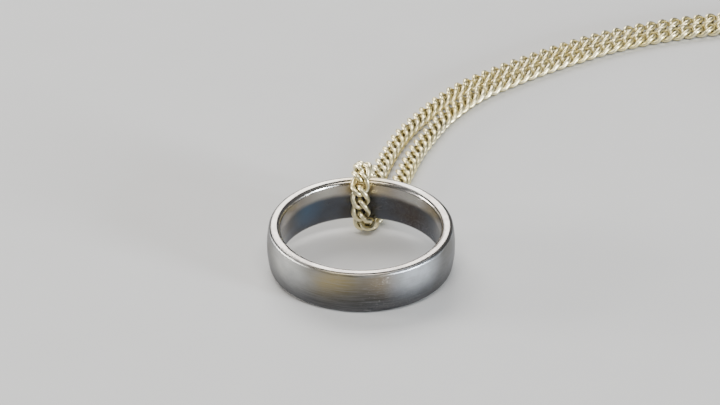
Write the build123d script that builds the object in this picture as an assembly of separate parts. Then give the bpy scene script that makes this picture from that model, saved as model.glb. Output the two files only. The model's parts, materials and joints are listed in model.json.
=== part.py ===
from build123d import *

import math
import os

# A plain band ring threaded on an endless loop of flat curb chain.
# The chain passes once through the ring, over the rim and back under the same stretch of wall.
# Its two strands lie side by side and run away to a flat coil, with the loop's far bend in the
# middle. Millimetres. The ring's centre is above the origin and the floor is at Z = 0.

# Ring: a comfort-fit band, US size 9, whose rear is tilted up to let the chain pass under it
RING_OUTER_RADIUS = 11.15
RING_RIM_RADIUS = 10.85
RING_INNER_RADIUS = 9.45
RING_WIDTH = 5.4
RING_OUTER_EASE = 0.5
RING_INNER_EASE = 0.55
RING_INNER_CROWN = 0.08
RING_TILT = 4.3

# Chain: each link is a twisted oval of round wire, flat side down on the floor
WIRE = 0.58
CHAIN_WIDTH = 2.35
PITCH = 1.68
LINK_SLACK = 0.3
LINK_TWIST = -61.0
LINK_CORNERS = 8
CHAIN_REST = 0.715

# Each bend of a centreline takes this share of the run before it and of the run after it
BEND_SHARE = 0.45
LINK_BEND_SHARE = 0.49

# Hitch: the chain goes over the rim, down inside the wall and back under it
CREST = (0.103, 10.694)
HITCH_TOP = 7.8
HITCH_BACK = (0.25, 12.1)
HITCH_FRONT = (-0.2, 7.8)
HITCH_FOOT = (0.1, 7.9)
TOP_RADIUS = 2.15
FOOT_RADIUS = 2.4
RISE_RADIUS = 2.6

# The two strands: their own lines near the ring, then one shared line with a strand each side
NEAR_STRAND = [(0.75, 16.4), (1.55, 20.2), (2.4, 24.0), (3.5, 28.4), (5.1, 33.4)]
FAR_STRAND = [(1.95, 12.9), (3.55, 16.7), (4.8, 20.5), (5.75, 24.6), (6.9, 29.0), (8.5, 33.2)]
SHARED = [(9.3, 38.8), (13.4, 45.6), (19.2, 51.0), (25.6, 56.1), (32.6, 60.9), (40.4, 64.4), (48.6, 66.6)]
STRAND_GAP = 2.7

# Coil of the spare length, wound clockwise and inwards with the two strands side by side
COIL_CENTRE = (71.0, 50.0)
COIL_RADIUS = 19.947
COIL_ENTRY = 104.0
COIL_STEP = 5.9
COIL_POINTS = 14
COIL_COUNT = 12
OUTER_EXTRA = 7

# The loop's far bend inside the coil, seen with the end of the doubled part at twelve o'clock
FAR_BEND = [(-4.6, -10.6), (-8.2, -7.6), (-9.3, -3.1), (-6.9, 0.9), (-2.5, 2.1), (2.2, 2.3)]
FAR_BEND += [(6.2, 3.9), (8.6, 7.2), (8.0, 10.6), (4.8, 12.6)]
BEND_SPLIT = 5

# Hinges of the doubled chain, counted in pivots from the crest along the near strand
FOLDS = (9, 17, 25, 33, 41)
COIL_RUNS = 18

# How far a pivot stands above its place on the floor before its link counts as part of the hitch
LIFT_OFF = 0.02
# The next pivot is looked for over this many pitches of line, in this many halvings
SEARCH_PITCHES = 1.5
HALVINGS = 20
# In matching pivots across the doubled chain, how much their distance counts beside their lead
DISTANCE_WEIGHT = 0.2


def flat(x, y, z=CHAIN_REST):
    """A point of the chain's centreline, lying on the floor unless a height is given."""
    return Vector(x, y, z)


def link_corner(step):
    """One corner of the twisted polygon whose rounded form is a link's centreline."""
    half_length = (PITCH + WIRE + LINK_SLACK) / 2
    reach = 1 / math.cos(math.pi / LINK_CORNERS)
    side_roll = math.radians(LINK_TWIST) * math.tan(math.pi / LINK_CORNERS)
    half_width = (CHAIN_WIDTH - WIRE) / 2 / math.cos(side_roll)
    turn = 2 * math.pi * (step + 0.5) / LINK_CORNERS
    roll = math.radians(LINK_TWIST) * math.cos(turn) * reach
    side = reach * half_width * math.sin(turn)
    return Vector(reach * half_length * math.cos(turn), side * math.cos(roll), side * math.sin(roll))


def rounded(points, share=BEND_SHARE, radii=None):
    """Straight runs joined by tangent arcs, each as large as its two runs allow."""
    chosen = []
    last = len(points) - 1
    for k in range(1, last):
        back, ahead = points[k] - points[k - 1], points[k + 1] - points[k]
        room_back = back.length * (2 * share if k == 1 else share)
        room_ahead = ahead.length * (2 * share if k == last - 1 else share)
        turn = math.radians(back.get_angle(ahead))
        largest = min(room_back, room_ahead) / math.tan(turn / 2)
        chosen.append((radii or {}).get(k, largest))
    return FilletPolyline(*points, radius=chosen)


def link_half_line():
    """Half of a link's centreline, from one end of its long axis to the other."""
    corners = [link_corner(step) for step in range(-1, LINK_CORNERS // 2 + 1)]
    start, end = (corners[0] + corners[1]) * 0.5, (corners[-2] + corners[-1]) * 0.5
    return rounded([start, *corners[1:-1], end], share=LINK_BEND_SHARE)


def make_link():
    """A link about the origin, long way on X and flat way on Z, from two equal halves."""
    line = link_half_line()
    half = sweep(Plane(origin=line @ 0, z_dir=line % 0) * Circle(WIRE / 2), path=line)
    return (half + half.rotate(Axis.X, 180)).solid()


def outer_section():
    """The dome's radius, and where its circle and the outer edge's easing are centred."""
    half = RING_WIDTH / 2
    rise = RING_OUTER_RADIUS - RING_RIM_RADIUS
    dome = (half**2 + rise**2) / (2 * rise)
    centre = RING_OUTER_RADIUS - dome
    ease_height = half - RING_OUTER_EASE
    ease_radius = centre + math.sqrt((dome - RING_OUTER_EASE) ** 2 - ease_height**2)
    return dome, centre, ease_radius, ease_height


def ring_plane():
    """The ring's own plane at mid width, set so that its front edge rests on the floor."""
    tilt = math.radians(RING_TILT)
    _, _, ease_radius, ease_height = outer_section()
    drop = ease_radius * math.sin(tilt) + ease_height * math.cos(tilt) + RING_OUTER_EASE
    return Plane(origin=(0, 0, drop), x_dir=(1, 0, 0), z_dir=(0, -math.sin(tilt), math.cos(tilt)))


def make_ring():
    """The band's section, domed outside and eased inside, turned about its axis."""
    half = RING_WIDTH / 2
    outer, inner = RING_OUTER_EASE, RING_INNER_EASE
    wall = RING_INNER_RADIUS + RING_INNER_CROWN
    dome, centre, ease_radius, ease_height = outer_section()
    angle = math.atan2(ease_height, ease_radius - centre)
    reach, height = centre + dome * math.cos(angle), dome * math.sin(angle)
    side = ThreePointArc((reach, -height), (RING_OUTER_RADIUS, 0), (reach, height))
    crown = ThreePointArc((wall, half - inner), (RING_INNER_RADIUS, 0), (wall, inner - half))
    top_out = RadiusArc((reach, height), (ease_radius, half), -outer)
    top = Line((ease_radius, half), (wall + inner, half))
    top_in = RadiusArc((wall + inner, half), (wall, half - inner), -inner)
    low_in = RadiusArc((wall, inner - half), (wall + inner, -half), -inner)
    low = Line((wall + inner, -half), (ease_radius, -half))
    low_out = RadiusArc((ease_radius, -half), (reach, -height), -outer)
    section = make_face([side, top_out, top, top_in, crown, low_in, low, low_out])
    band = revolve(Plane.XZ * section, axis=Axis.Z)
    return ring_plane() * band


def round_coil(x, y, angle):
    """A point of the coil's own plane, turned about its centre by an angle in degrees."""
    c, s = math.cos(math.radians(angle)), math.sin(math.radians(angle))
    return COIL_CENTRE[0] + x * c - y * s, COIL_CENTRE[1] + x * s + y * c


def coil_points(count, offset):
    """Corners of one strand's spiral, an offset outside the middle of the doubled part."""
    reach = 1 / math.cos(math.pi / COIL_POINTS)
    points = []
    for k in range(count + 1):
        radius = reach * (COIL_RADIUS + offset - COIL_STEP * k / COIL_POINTS)
        points.append(round_coil(radius, 0, COIL_ENTRY - 360 * k / COIL_POINTS))
    return points


def beside(points, offset):
    """The same line moved sideways, to its left for a positive offset."""
    moved = []
    last = len(points) - 1
    for k, (x, y) in enumerate(points):
        before, after = points[max(k - 1, 0)], points[min(k + 1, last)]
        back = Vector(x - before[0], y - before[1]).normalized() if k else None
        ahead = Vector(after[0] - x, after[1] - y).normalized() if k < last else back
        back = back or ahead
        along = (back + ahead).normalized()
        reach = offset / along.dot(back)
        moved.append((x - along.Y * reach, y + along.X * reach))
    return moved


def chain_lines():
    """Each strand's line from the hitch's crest: over the rim, or inside and under the wall."""
    middle = SHARED + coil_points(0, 0)
    half = STRAND_GAP / 2
    quarter_turn = 90
    end_angle = COIL_ENTRY - 360 * COIL_COUNT / COIL_POINTS - quarter_turn
    near = NEAR_STRAND + beside(middle, half)[:-1] + coil_points(COIL_COUNT + OUTER_EXTRA, half)
    near += [round_coil(*p, end_angle) for p in FAR_BEND[:BEND_SPLIT]]
    far = FAR_STRAND + beside(middle, -half)[:-1] + coil_points(COIL_COUNT, -half)
    far += [round_coil(*p, end_angle) for p in reversed(FAR_BEND[BEND_SPLIT:])]
    meeting = [((near[-1][0] + far[-1][0]) / 2, (near[-1][1] + far[-1][1]) / 2)]
    crest = flat(*CREST, HITCH_TOP)
    over = [crest, flat(*HITCH_BACK, HITCH_TOP)]
    under = [crest, flat(*HITCH_FRONT, HITCH_TOP), flat(*HITCH_FOOT)]
    return (
        rounded(over + [flat(*p) for p in near + meeting], radii={1: TOP_RADIUS, 2: RISE_RADIUS}),
        rounded(under + [flat(*p) for p in far + meeting], radii={1: TOP_RADIUS, 2: FOOT_RADIUS}),
    )


def pivots_along(near, far):
    """The pivots between links, one pitch apart as the crow flies, all the way round the loop."""
    def point(distance):
        if distance < near.length:
            return near @ (distance / near.length)
        return far @ (1 - (distance - near.length) / far.length)

    total = near.length + far.length
    reached = 0.0
    pivots = [point(0)]
    search = SEARCH_PITCHES * PITCH
    while reached + search < total:
        low, high = reached, reached + search
        for _ in range(HALVINGS):
            middle = (low + high) / 2
            if (point(middle) - pivots[-1]).length < PITCH:
                low = middle
            else:
                high = middle
        reached = high
        pivots.append(point(reached))
    return pivots


def link_places(pivots):
    """A plane for each link, its long way from pivot to pivot and its width level.

    Over the hitch the width turns evenly from one strand's direction to the other's.
    """
    count = len(pivots)
    along = [(pivots[(k + 1) % count] - pivots[k]) for k in range(count)]
    raised = [k for k in range(count) if pivots[k].Z > CHAIN_REST + LIFT_OFF]
    last = max(k for k in raised if k < count / 2) + 1
    first = min(k for k in raised if k > count / 2) - 1

    def level(k):
        return Vector(along[k].Y, -along[k].X).normalized()

    entering, leaving = level(first - 1), level(last)
    if entering.dot(leaving) < 0:
        entering = -entering
    places = []
    for k in range(count):
        side = level(k)
        if not last <= k < first:
            share = (k - first) % count / (last + count - first)
            side = entering * (1 - share) + leaving * share
        heading = along[k].normalized()
        side = (side - heading * side.dot(heading)).normalized()
        middle = pivots[k] + along[k] * 0.5
        places.append(Plane(origin=middle, x_dir=heading, z_dir=heading.cross(side)))
    return places


def fold_pairs(pivots):
    """For each hinge of the doubled chain, one pivot of the near strand and its fellow across."""
    count = len(pivots)

    def mismatch(near, far):
        heading = (pivots[near + 1] - pivots[near - 1]).normalized()
        across = pivots[far] - pivots[near]
        return abs(across.dot(heading)) + DISTANCE_WEIGHT * across.length

    return [
        (near, min(range(count // 2, count), key=lambda far: mismatch(near, far)))
        for near in FOLDS
    ]


def runs(first, last, parts):
    """The links from first up to last, cut into equal runs."""
    edges = [first + round((last - first) * k / parts) for k in range(parts + 1)]
    return [range(a, b) for a, b in zip(edges, edges[1:])]


def link_groups(pivots):
    """Which links make up each node, counted from the crest along the near strand."""
    count = len(pivots)
    pairs = fold_pairs(pivots)
    groups = {"hitch_over_rim": range(0, pairs[0][0]), "hitch_under_wall": range(pairs[0][1], count)}
    for k in range(1, len(pairs)):
        groups[f"near_strand_{k}"] = range(pairs[k - 1][0], pairs[k][0])
        groups[f"far_strand_{k}"] = range(pairs[k][1], pairs[k - 1][1])
    for k, run in enumerate(runs(pairs[-1][0], pairs[-1][1], COIL_RUNS), start=1):
        groups[f"coil_{k:02d}"] = run
    return groups


def main():
    os.makedirs("parts", exist_ok=True)
    export_step(make_ring(), "parts/ring.step")
    pivots = pivots_along(*chain_lines())
    places = link_places(pivots)
    link = make_link()
    for name, run in link_groups(pivots).items():
        links = [places[k] * link for k in run]
        export_step(Compound(children=links, label=name), f"parts/{name}.step")
        print(name, len(links), "links")
    print("loop of", len(pivots), "links,", round(len(pivots) * PITCH, 1), "mm round")


if __name__ == "__main__":
    main()
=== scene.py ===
import json
import math

import bpy
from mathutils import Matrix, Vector

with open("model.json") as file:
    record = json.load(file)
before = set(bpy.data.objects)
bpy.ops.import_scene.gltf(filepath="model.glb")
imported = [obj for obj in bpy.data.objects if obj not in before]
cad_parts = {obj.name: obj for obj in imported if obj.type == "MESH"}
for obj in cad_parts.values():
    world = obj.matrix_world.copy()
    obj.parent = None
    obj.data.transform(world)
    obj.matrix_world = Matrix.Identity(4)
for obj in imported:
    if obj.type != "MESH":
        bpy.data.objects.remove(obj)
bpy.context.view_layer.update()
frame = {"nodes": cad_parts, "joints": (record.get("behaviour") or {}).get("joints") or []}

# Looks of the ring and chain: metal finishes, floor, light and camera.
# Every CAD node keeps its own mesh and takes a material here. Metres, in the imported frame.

NODES = frame["nodes"]
SPIN = next(joint for joint in frame["joints"] if joint["name"] == "ring_spin")
RING_CENTRE = Vector(SPIN["pos_m"])
RING_AXIS = Vector(SPIN["axis"])

# Camera: the point it looks at, how far off and how high it stands, and its lens in millimetres
AIM = Vector((-0.00012, 0.01688, 0.0))
DISTANCE = 0.492
ELEVATION = math.radians(27.97)
LENS = 200.7
SENSOR_WIDTH = 36.0
CLIP = (0.01, 20.0)

# Area lights: name, place, size, power in watts, colour. All of them point at the ring.
LIGHTS = [
    ("window", (-0.25, 0.75, 0.75), (0.9, 0.6), 11.5, (1.0, 0.985, 0.96)),
    ("side", (0.85, -0.60, 0.15), (0.24, 0.26), 18.0, (0.86, 0.93, 1.0)),
    ("fill", (-0.95, 0.10, 0.15), (0.3, 0.26), 10.0, (1.0, 0.98, 0.95)),
    ("front", (0.0, -0.45, 0.95), (0.8, 0.3), 7.0, (1.0, 0.97, 0.93)),
]
WORLD_COLOUR = (0.80, 0.82, 0.85)
WORLD_STRENGTH = 0.20

FLOOR_SIZE = 6.0
FLOOR_TONES = ((0.66, 0.66, 0.655), (0.70, 0.70, 0.695))

# Distances from the ring's axis over which its outer and inner edges round off
OUTER_EASE = (0.01044, 0.01090)
INNER_EASE = (0.00953, 0.01000)

# Painted highlight: heights above the ring's middle between which its bore, painted darker as shade, gives
# way to a top painted in the rims' paler colour
BORE_LIT_TOP = (0.0005, 0.0014)
# Painted shade: heights between which the band, painted darker towards its foot, gives way to unshaded
# steel
BAND_FOOT_SHADE = (-0.0020, 0.0024)
# How far a noise moves the edges of those two zones
LIT_TOP_WANDER = 0.0012
FOOT_SHADE_WANDER = 0.0012

# Noise scales, in cells per metre along each axis. The ring's are finer along its own axis.
BRUSHING = (260, 260, 9000)
FINE_BRUSHING = (900, 900, 30000)
BLOTCHES = (190, 190, 300)
CLOUDS = (420, 420, 600)
WIRE_CLOUDS = (700, 700, 700)
WIRE_SPECKS = (9000, 9000, 9000)
WIRE_DRIFT = (120, 120, 120)
FLOOR_MOTTLE = (90, 90, 90)

# Depths of the relief that is only shaded, in metres
BRUSHED_DEPTH = 0.0000025
CLOUD_DEPTH = 0.00001
SCRATCH_DEPTH = 0.000006
WIRE_CLOUD_DEPTH = 0.000012
WIRE_SPECK_DEPTH = 0.000004
# Share of the fine brushing beside the coarse
FINE_SHARE = 0.4

# Roughness, from the smoother to the duller places of a finish
SATIN = (0.30, 0.40)
POLISH = (0.16, 0.28)
WIRE_POLISH = (0.27, 0.38)
PAPER = 0.75
# What clouds add to the satin, scratches to the ring and the painted shade of the hollows to the wire
SATIN_CLOUDS = (-0.04, 0.05)
SCRATCHED = 0.12
HOLLOW_SHADE_ROUGHNESS = 0.25
# How strongly the brushing stretches the ring's reflections
STRETCH = 0.75

# Parts of a noise's range over which a mottle fades in, from the most gradual to the sharpest
WIDE = (0.25, 0.75)
GENTLE = (0.3, 0.7)
SHARP = (0.35, 0.65)

# How noise breaks up a stain or a patch of painted light: the part of its range, and the least and most
# that such a patch covers
STAIN_AND_LIGHT_CLOUDS = (0.2, 0.7)
STAIN_AND_LIGHT_COVER = (0.6, 1.0)
# The most that each of these covers of the metal below it
FOOT_SHADE_COVER = 0.9
GRAIN_COVER = 0.30
SCRATCH_COVER = 0.5
PALE_COVER = 0.5
HOLLOW_SHADE_COVER = 0.95
# Openness of a hollow between links, from full painted shade to clean wire
SHADED_HOLLOW = (0.20, 0.72)

# Metal tones: each pair is mixed by a noise
STEEL_TONES = ((0.19, 0.20, 0.22), (0.135, 0.13, 0.12))
# The rims' tones are this steel painted paler, as a highlight
RIM_LIT_TONES = ((0.47, 0.44, 0.41), (0.39, 0.36, 0.335))
# The bore's tones are this steel painted darker, as shade
BORE_SHADED_TONES = ((0.115, 0.125, 0.15), (0.085, 0.08, 0.077))
FOOT_SHADE_TONE = (0.055, 0.055, 0.06)
GRAIN_TONE = (0.32, 0.32, 0.32)
SCRATCH_TONE = (0.70, 0.70, 0.69)
GOLD_TONES = ((1.0, 0.905, 0.54), (0.95, 0.82, 0.40))
PALE_GOLD = (0.98, 0.91, 0.66)
HOLLOW_SHADE_TONE = (0.15, 0.115, 0.045)

# Stains and patches of painted highlight, painted reflection and painted shade: a place in the ring's own
# axes, how far it spreads, and its colour
BAND_STAINS_AND_PAINTED_LIGHT = [
    # Two warm brownish patches on the front of the band
    ((-0.0030, -0.0107, 0.0012), 0.0050, (0.40, 0.31, 0.12)),
    ((0.0022, -0.0109, 0.0014), 0.0034, (0.26, 0.20, 0.12)),
    # Painted shade: a dark patch at the front of the band's foot
    ((-0.0010, -0.0110, -0.0020), 0.0070, (0.055, 0.048, 0.033)),
    # Painted highlights: a pale one on the left front and a bluish-white one on the right front
    ((-0.0088, -0.0066, 0.0012), 0.0056, (0.66, 0.66, 0.63)),
    ((0.0066, -0.0088, 0.0012), 0.0050, (0.70, 0.75, 0.82)),
]
RIM_PAINTED_LIGHT = [
    # A warm painted reflection of the chain on the rim at the back
    ((0.0005, 0.0099, 0.0022), 0.0050, (0.42, 0.33, 0.17)),
    # Pale painted highlights on the rim at the back, left and right
    ((-0.0050, 0.0086, 0.0018), 0.0038, (0.58, 0.57, 0.52)),
    ((0.0064, 0.0078, 0.0018), 0.0034, (0.56, 0.55, 0.52)),
]
BORE_STAINS_AND_PAINTED_REFLECTION = [
    # Painted reflection: a blue tint high on the inside at the back left
    ((-0.0064, 0.0069, 0.0003), 0.0034, (0.12, 0.18, 0.27)),
    # A dark stain on the inside at the back right
    ((0.0060, 0.0073, -0.0005), 0.0040, (0.085, 0.065, 0.055)),
]

# Families of scratches: how their noise is turned, its scale along and across them, their strength
SCRATCHES = [
    ((0.5, 0.2, 0.4), 120, 5200, 1.0),
    ((1.1, 0.7, 2.1), 140, 6100, 0.8),
    ((2.0, 0.3, 1.2), 110, 4700, 0.9),
]
# How far from its middle value that noise still marks the metal
SCRATCH_HALF_WIDTH = 0.006
# Scratches come in patches: the values of a coarse noise between which they fade in, and its scale
SCRATCH_PATCHES = (0.56, 0.64)
PATCH_SCALE = 90

# How far the hollows between links reach when their painted shade is worked out
HOLLOW_REACH = 0.0006


class Tree:
    """A metal's or paper's node tree, with short calls for the nodes that are used often."""

    def __init__(self, name):
        self.material = bpy.data.materials.new(name)
        self.material.use_nodes = True
        self.nodes = self.material.node_tree.nodes
        self.links = self.material.node_tree.links
        self.shader = next(n for n in self.nodes if n.type == "BSDF_PRINCIPLED")

    def put(self, socket, value):
        """Links a socket to another, or sets it to a number, colour or vector."""
        if isinstance(value, bpy.types.NodeSocket):
            self.links.new(value, socket)
        else:
            socket.default_value = value

    def finish(self, name, value):
        """Sets one input of the material's shader."""
        self.put(self.shader.inputs[name], value)

    def add(self, kind, settings=None, **inputs):
        node = self.nodes.new(kind)
        for key, value in (settings or {}).items():
            setattr(node, key, value)
        for key, value in inputs.items():
            self.put(node.inputs[key], value)
        return node

    def place(self):
        """The object's own coordinates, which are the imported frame's."""
        return self.add("ShaderNodeTexCoord").outputs["Object"]

    def math(self, operation, *values):
        node = self.add("ShaderNodeMath", {"operation": operation})
        for k, value in enumerate(values):
            self.put(node.inputs[k], value)
        return node.outputs[0]

    def ramp(self, value, low, high, to_low=0.0, to_high=1.0):
        """Carries a value smoothly from one range to another, and holds it there."""
        node = self.add("ShaderNodeMapRange", {"interpolation_type": "SMOOTHSTEP"}, Value=value)
        for name, number in zip(("From Min", "From Max", "To Min", "To Max"), (low, high, to_low, to_high)):
            node.inputs[name].default_value = number
        return node.outputs["Result"]

    def mix(self, share, a, b):
        """Mixes two colours, each a socket or a tone."""
        node = self.add("ShaderNodeMix", {"data_type": "RGBA"})
        factor, first, second = node.inputs[0], node.inputs[6], node.inputs[7]
        self.put(factor, share)
        self.put(first, a if isinstance(a, bpy.types.NodeSocket) else (*a, 1.0))
        self.put(second, b if isinstance(b, bpy.types.NodeSocket) else (*b, 1.0))
        return node.outputs[2]

    def noise(self, place, scale, turn=(0, 0, 0), detail=3.0, roughness=0.5):
        """Noise stretched and turned by a mapping, so that streaks and specks share one call."""
        mapping = self.add("ShaderNodeMapping", Vector=place, Scale=scale, Rotation=turn)
        node = self.add("ShaderNodeTexNoise", Vector=mapping.outputs[0], Scale=1.0, Detail=detail,
                        Roughness=roughness)
        return node.outputs["Fac"]

    def near(self, place, spot, reach):
        """One at a spot, falling smoothly to nothing at its reach."""
        gap = self.add("ShaderNodeVectorMath", {"operation": "DISTANCE"})
        self.put(gap.inputs[0], place)
        self.put(gap.inputs[1], spot)
        return self.ramp(gap.outputs["Value"], 0.0, reach, 1.0, 0.0)

    def bump(self, height, distance, normal=None):
        node = self.add("ShaderNodeBump", Height=height, Distance=distance)
        if normal is not None:
            self.put(node.inputs["Normal"], normal)
        return node.outputs["Normal"]


def ring_place(tree):
    """Coordinates in the ring's own axes: its centre at zero and its axis along Z."""
    local = tree.add("ShaderNodeMapping", {"vector_type": "TEXTURE"}, Vector=tree.place())
    local.inputs["Location"].default_value = RING_CENTRE
    local.inputs["Rotation"].default_value = (math.atan2(-RING_AXIS.y, RING_AXIS.z), 0, 0)
    return local.outputs[0]


def scratches(tree, place):
    """Thin straight marks, where strongly stretched noise crosses its middle value."""
    total = None
    for turn, along, across, strength in SCRATCHES:
        field = tree.noise(place, (along, across, across), turn, detail=1.0)
        off = tree.math("ABSOLUTE", tree.math("SUBTRACT", field, 0.5))
        mark = tree.ramp(off, 0.0, SCRATCH_HALF_WIDTH, 1.0, 0.0)
        patch = tree.noise(place, (PATCH_SCALE, PATCH_SCALE, PATCH_SCALE), turn, detail=1.0)
        mark = tree.math("MULTIPLY", mark, tree.ramp(patch, *SCRATCH_PATCHES, 0.0, strength))
        total = mark if total is None else tree.math("MAXIMUM", total, mark)
    return total


def with_stains_and_painted_light(tree, metal, stains_and_light, place, cloud):
    """The metal's colour with a list of patches over it, each a stain or painted light, each broken up by a
    noise.
    """
    for spot, reach, tone in stains_and_light:
        cover = tree.ramp(cloud, *STAIN_AND_LIGHT_CLOUDS, *STAIN_AND_LIGHT_COVER)
        share = tree.math("MULTIPLY", tree.near(place, spot, reach), cover)
        metal = tree.mix(share, metal, tone)
    return metal


def wandering(tree, height, noise, wander):
    """A height moved up and down by a noise."""
    return tree.math("ADD", height, tree.math("MULTIPLY", noise, wander))


def band_metal(tree, place, height, blotch, cloud, grain):
    """Satin steel of the ring's outside, with brushed grain: warm patches, painted highlights and painted
    shade over it, and painted shade darkening it towards its foot.
    """
    steel = tree.mix(tree.ramp(blotch, *SHARP), *STEEL_TONES)
    steel = with_stains_and_painted_light(tree, steel, BAND_STAINS_AND_PAINTED_LIGHT, place, cloud)
    # Painted shade: the band grows darker towards its foot
    foot_shade = tree.ramp(wandering(tree, height, cloud, FOOT_SHADE_WANDER), *BAND_FOOT_SHADE, FOOT_SHADE_COVER, 0.0)
    steel = tree.mix(foot_shade, steel, FOOT_SHADE_TONE)
    return tree.mix(tree.ramp(grain, *GENTLE, 0.0, GRAIN_COVER), steel, GRAIN_TONE)


def rim_metal(tree, place, cloud):
    """Polished steel of the two edges, painted paler than the band as a highlight, with painted reflections
    and highlights on it.
    """
    return with_stains_and_painted_light(tree, tree.mix(tree.ramp(cloud, *GENTLE), *RIM_LIT_TONES), RIM_PAINTED_LIGHT, place, cloud)


def bore_metal(tree, place, blotch, cloud):
    """Steel of the inside, painted darker than the band as shade, with a painted blue reflection and a dark
    stain.
    """
    return with_stains_and_painted_light(tree, tree.mix(tree.ramp(blotch, *GENTLE), *BORE_SHADED_TONES), BORE_STAINS_AND_PAINTED_REFLECTION, place, cloud)


def ring_finish(tree, grain, cloud, marks, outside):
    """Brushed and satin outside, polished elsewhere, duller where it is scratched."""
    satin = tree.ramp(grain, *WIDE, *SATIN)
    satin = tree.math("ADD", satin, tree.ramp(cloud, *GENTLE, *SATIN_CLOUDS))
    polish = tree.ramp(cloud, *WIDE, *POLISH)
    gap = tree.math("SUBTRACT", satin, polish)
    rough = tree.math("ADD", polish, tree.math("MULTIPLY", gap, outside))
    tree.finish("Roughness", tree.math("ADD", rough, tree.math("MULTIPLY", marks, SCRATCHED)))
    tree.finish("Anisotropic", STRETCH)
    around = tree.add("ShaderNodeTangent", {"direction_type": "RADIAL", "axis": "Z"})
    tree.finish("Tangent", around.outputs[0])


def ring_relief(tree, place, grain, cloud, marks, outside):
    """Brushing, soft unevenness and scratches, one over the other."""
    fine = tree.noise(place, FINE_BRUSHING, detail=2.0)
    coarse = tree.math("MULTIPLY", grain, outside)
    height = tree.math("ADD", coarse, tree.math("MULTIPLY", fine, FINE_SHARE))
    normal = tree.bump(height, BRUSHED_DEPTH)
    normal = tree.bump(cloud, CLOUD_DEPTH, normal)
    normal = tree.bump(tree.math("MULTIPLY", marks, -1.0), SCRATCH_DEPTH, normal)
    tree.finish("Normal", normal)


def ring_material():
    """Satin steel outside, polished rims and a bore painted darker as shade, with painted highlights,
    reflections and shade, warm patches and fine wear.
    """
    tree = Tree("ring_metal")
    place = ring_place(tree)
    x, y, z = tree.add("ShaderNodeSeparateXYZ", Vector=place).outputs
    radius = tree.math("SQRT", tree.math("ADD", tree.math("MULTIPLY", x, x), tree.math("MULTIPLY", y, y)))
    outside = tree.ramp(radius, *OUTER_EASE)
    inside = tree.ramp(radius, *INNER_EASE, 1.0, 0.0)

    grain = tree.noise(place, BRUSHING, detail=4.0, roughness=0.65)
    blotch = tree.noise(place, BLOTCHES)
    cloud = tree.noise(place, CLOUDS, detail=4.0, roughness=0.6)
    marks = scratches(tree, place)

    band = band_metal(tree, place, z, blotch, cloud, grain)
    # Painted highlight: the top of the bore takes the rims' paler colour
    lit_top = wandering(tree, z, tree.math("SUBTRACT", blotch, 0.5), LIT_TOP_WANDER)
    inside = tree.math("MULTIPLY", inside, tree.ramp(lit_top, *BORE_LIT_TOP, 1.0, 0.0))
    metal = tree.mix(outside, rim_metal(tree, place, cloud), band)
    metal = tree.mix(inside, metal, bore_metal(tree, place, blotch, cloud))
    metal = tree.mix(tree.math("MULTIPLY", marks, SCRATCH_COVER), metal, SCRATCH_TONE)
    tree.finish("Base Color", metal)
    tree.finish("Metallic", 1.0)
    ring_finish(tree, grain, cloud, marks, outside)
    ring_relief(tree, place, grain, cloud, marks, outside)
    return tree.material


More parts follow.
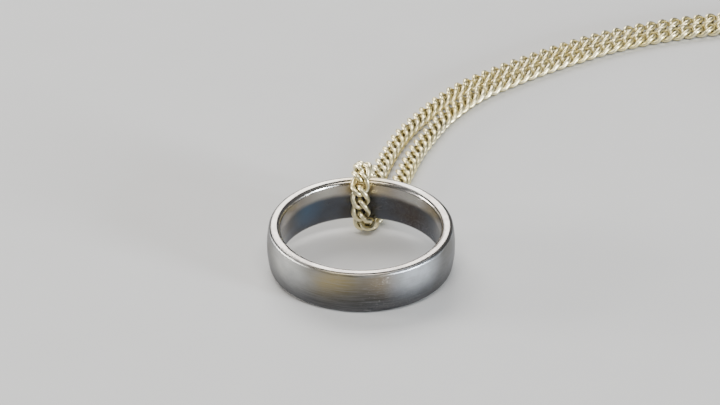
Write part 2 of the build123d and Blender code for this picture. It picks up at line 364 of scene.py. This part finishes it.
def chain_material():
    """Pale gold wire, brightest where it rubs, with brown painted shade in the hollows between links."""
    tree = Tree("chain_metal")
    place = tree.place()
    cloud = tree.noise(place, WIRE_CLOUDS, detail=4.0, roughness=0.6)
    specks = tree.noise(place, WIRE_SPECKS, detail=2.0)
    drift = tree.noise(place, WIRE_DRIFT, detail=2.0)
    hollow = tree.add("ShaderNodeAmbientOcclusion", {"samples": 8}, Distance=HOLLOW_REACH).outputs["AO"]

    gold = tree.mix(tree.ramp(cloud, *GENTLE), *GOLD_TONES)
    gold = tree.mix(tree.ramp(drift, *SHARP, 0.0, PALE_COVER), gold, PALE_GOLD)
    # Painted shade: brown darkening where the links' hollows are closed in
    hollow_shade = tree.ramp(hollow, *SHADED_HOLLOW, HOLLOW_SHADE_COVER, 0.0)
    tree.finish("Base Color", tree.mix(hollow_shade, gold, HOLLOW_SHADE_TONE))
    tree.finish("Metallic", 1.0)
    rough = tree.ramp(cloud, *GENTLE, *WIRE_POLISH)
    tree.finish("Roughness", tree.math("ADD", rough, tree.math("MULTIPLY", hollow_shade, HOLLOW_SHADE_ROUGHNESS)))
    tree.finish("Normal", tree.bump(cloud, WIRE_CLOUD_DEPTH, tree.bump(specks, WIRE_SPECK_DEPTH)))
    return tree.material


def floor_material():
    """A plain pale sheet with the faintest mottle."""
    tree = Tree("floor_paper")
    mottle = tree.noise(tree.place(), FLOOR_MOTTLE, detail=5.0)
    tree.finish("Base Color", tree.mix(mottle, *FLOOR_TONES))
    tree.finish("Roughness", PAPER)
    return tree.material


def wear(node, material):
    """Gives a CAD node its finish."""
    node.data.materials.clear()
    node.data.materials.append(material)


def make_floor():
    bpy.ops.mesh.primitive_plane_add(size=FLOOR_SIZE, location=(0, 0, 0))
    floor = bpy.context.object
    floor.name = "floor"
    floor.data.materials.append(floor_material())


def make_lights():
    for name, place, size, power, tint in LIGHTS:
        data = bpy.data.lights.new(name, "AREA")
        data.shape = "RECTANGLE"
        data.size, data.size_y = size
        data.energy = power
        data.color = tint
        lamp = bpy.data.objects.new(name, data)
        bpy.context.scene.collection.objects.link(lamp)
        lamp.location = place
        lamp.rotation_euler = (-Vector(place)).to_track_quat("-Z", "Y").to_euler()


def make_world():
    """Even light from all round, which fills the shadows."""
    world = bpy.data.worlds.new("studio")
    world.use_nodes = True
    back = world.node_tree.nodes["Background"]
    back.inputs["Color"].default_value = (*WORLD_COLOUR, 1.0)
    back.inputs["Strength"].default_value = WORLD_STRENGTH
    bpy.context.scene.world = world


def make_camera():
    """The camera stands in front of the ring, off its free side, and looks past it to the chain."""
    data = bpy.data.cameras.new("camera")
    data.lens = LENS
    data.sensor_width = SENSOR_WIDTH
    data.clip_start, data.clip_end = CLIP
    camera = bpy.data.objects.new("camera", data)
    bpy.context.scene.collection.objects.link(camera)
    back = Vector((0, -math.cos(ELEVATION), math.sin(ELEVATION)))
    camera.location = AIM + back * DISTANCE
    camera.rotation_euler = (-back).to_track_quat("-Z", "Y").to_euler()
    bpy.context.scene.camera = camera


def main():
    make_camera()
    wear(NODES["ring"], ring_material())
    gold = chain_material()
    for name, node in NODES.items():
        if name != "ring":
            wear(node, gold)
    make_floor()
    make_lights()
    make_world()


main()
